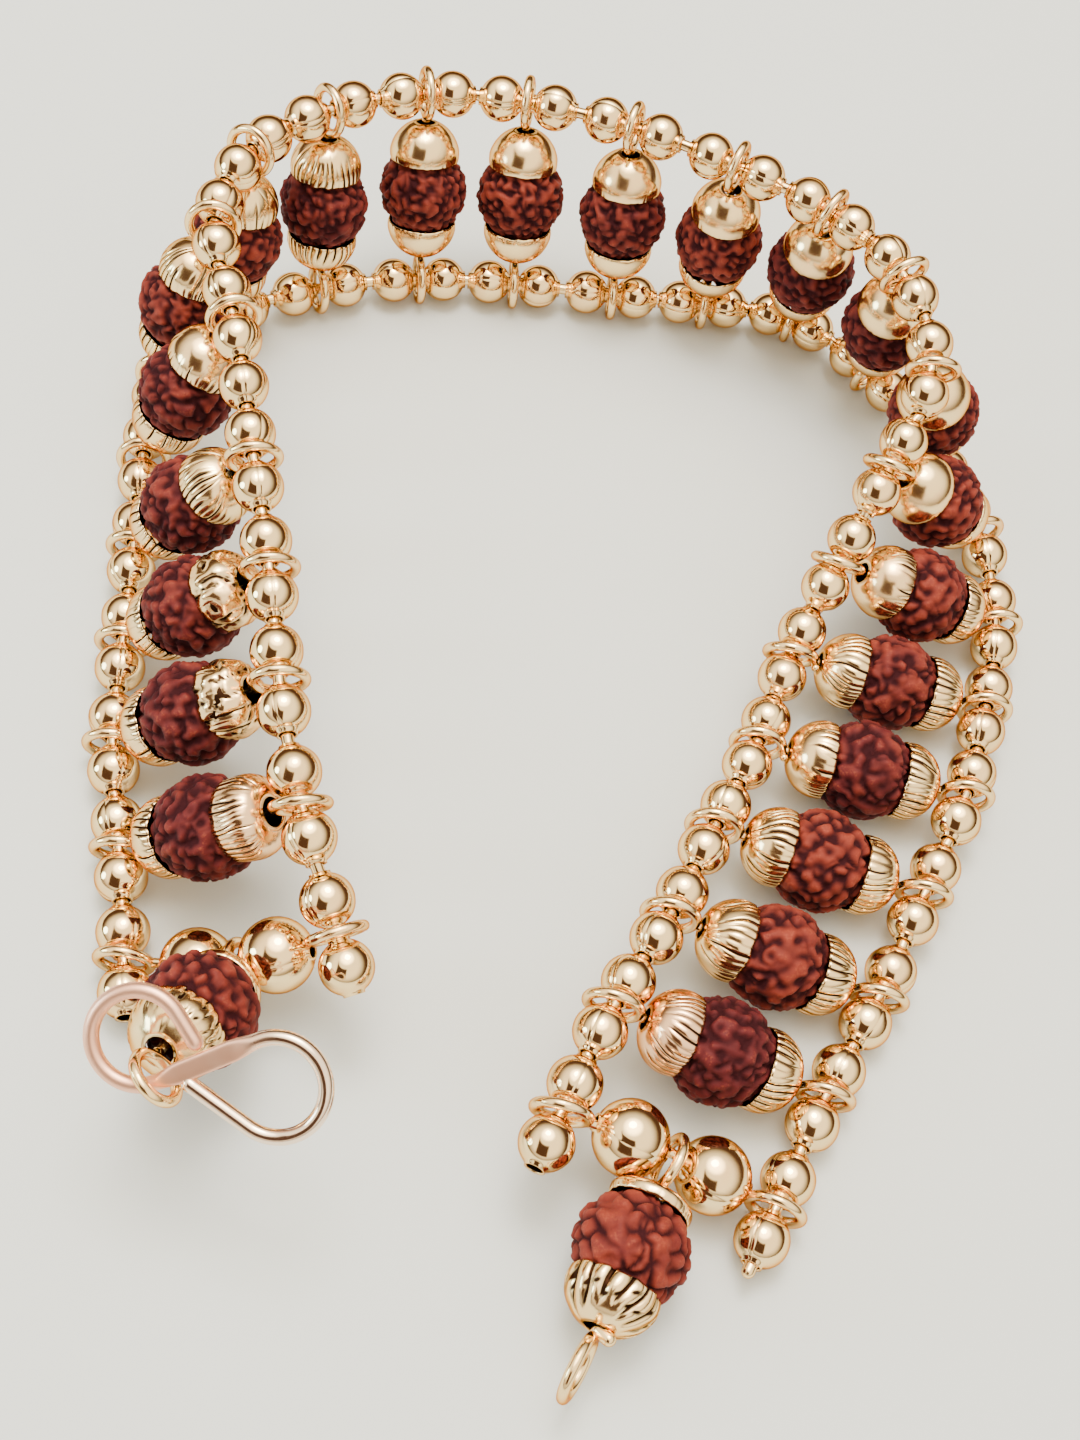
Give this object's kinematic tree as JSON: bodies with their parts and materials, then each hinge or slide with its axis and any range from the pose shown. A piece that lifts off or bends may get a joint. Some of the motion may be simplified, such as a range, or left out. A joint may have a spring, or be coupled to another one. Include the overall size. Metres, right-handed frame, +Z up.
{
  "type": "rudraksha bead bracelet",
  "caption": "Ladder bracelet lying open: two chains of gilt balls joined by capped rudraksha beads, with an S-hook at one end and a wire eye at the other.",
  "frame": {"origin": "on the table, under the middle of the bracelet's bounding box", "axes": "+Z up from the table, +Y towards the closed end of the horseshoe that the bracelet lies in, +X towards the leg that ends in the eye"},
  "size_m": [0.0604, 0.0801, 0.0166],
  "materials": {
    "balls": "gold plated, mirror polish",
    "wire": "gold plated, polished",
    "caps": "gold plated, fluted, polished",
    "hook": "rose gold plated, satin to polished",
    "rudraksha": "dry seed, lumpy and matte"
  },
  "bodies": {
    "root": {"rudraksha_01": "rudraksha", "rudraksha_02": "rudraksha", "rudraksha_03": "rudraksha", "rudraksha_04": "rudraksha", "rudraksha_05": "rudraksha", "rudraksha_06": "rudraksha", "rudraksha_07": "rudraksha", "rudraksha_08": "rudraksha", "rudraksha_09": "rudraksha", "rudraksha_10": "rudraksha", "rudraksha_11": "rudraksha", "rudraksha_12": "rudraksha", "rudraksha_13": "rudraksha", "rudraksha_14": "rudraksha", "rudraksha_15": "rudraksha", "rudraksha_16": "rudraksha", "rudraksha_17": "rudraksha", "rudraksha_18": "rudraksha", "rudraksha_19": "rudraksha", "rudraksha_20": "rudraksha", "rudraksha_21": "rudraksha", "rudraksha_22": "rudraksha", "hook_rudraksha": "rudraksha", "eye_rudraksha": "rudraksha", "upper_chain_balls": "balls", "lower_chain_balls": "balls", "hook_end_ball_low": "balls", "hook_end_ball_high": "balls", "eye_end_ball_low": "balls", "eye_end_ball_high": "balls", "upper_chain_wire": "wire", "lower_chain_wire": "wire", "rung_pins": "wire", "end_pins": "wire", "hook_pin": "wire", "eye_pin": "wire", "lower_caps": "caps", "upper_caps": "caps", "hook_caps": "caps", "eye_caps": "caps", "s_hook": "hook"}
  },
  "joints": []
}
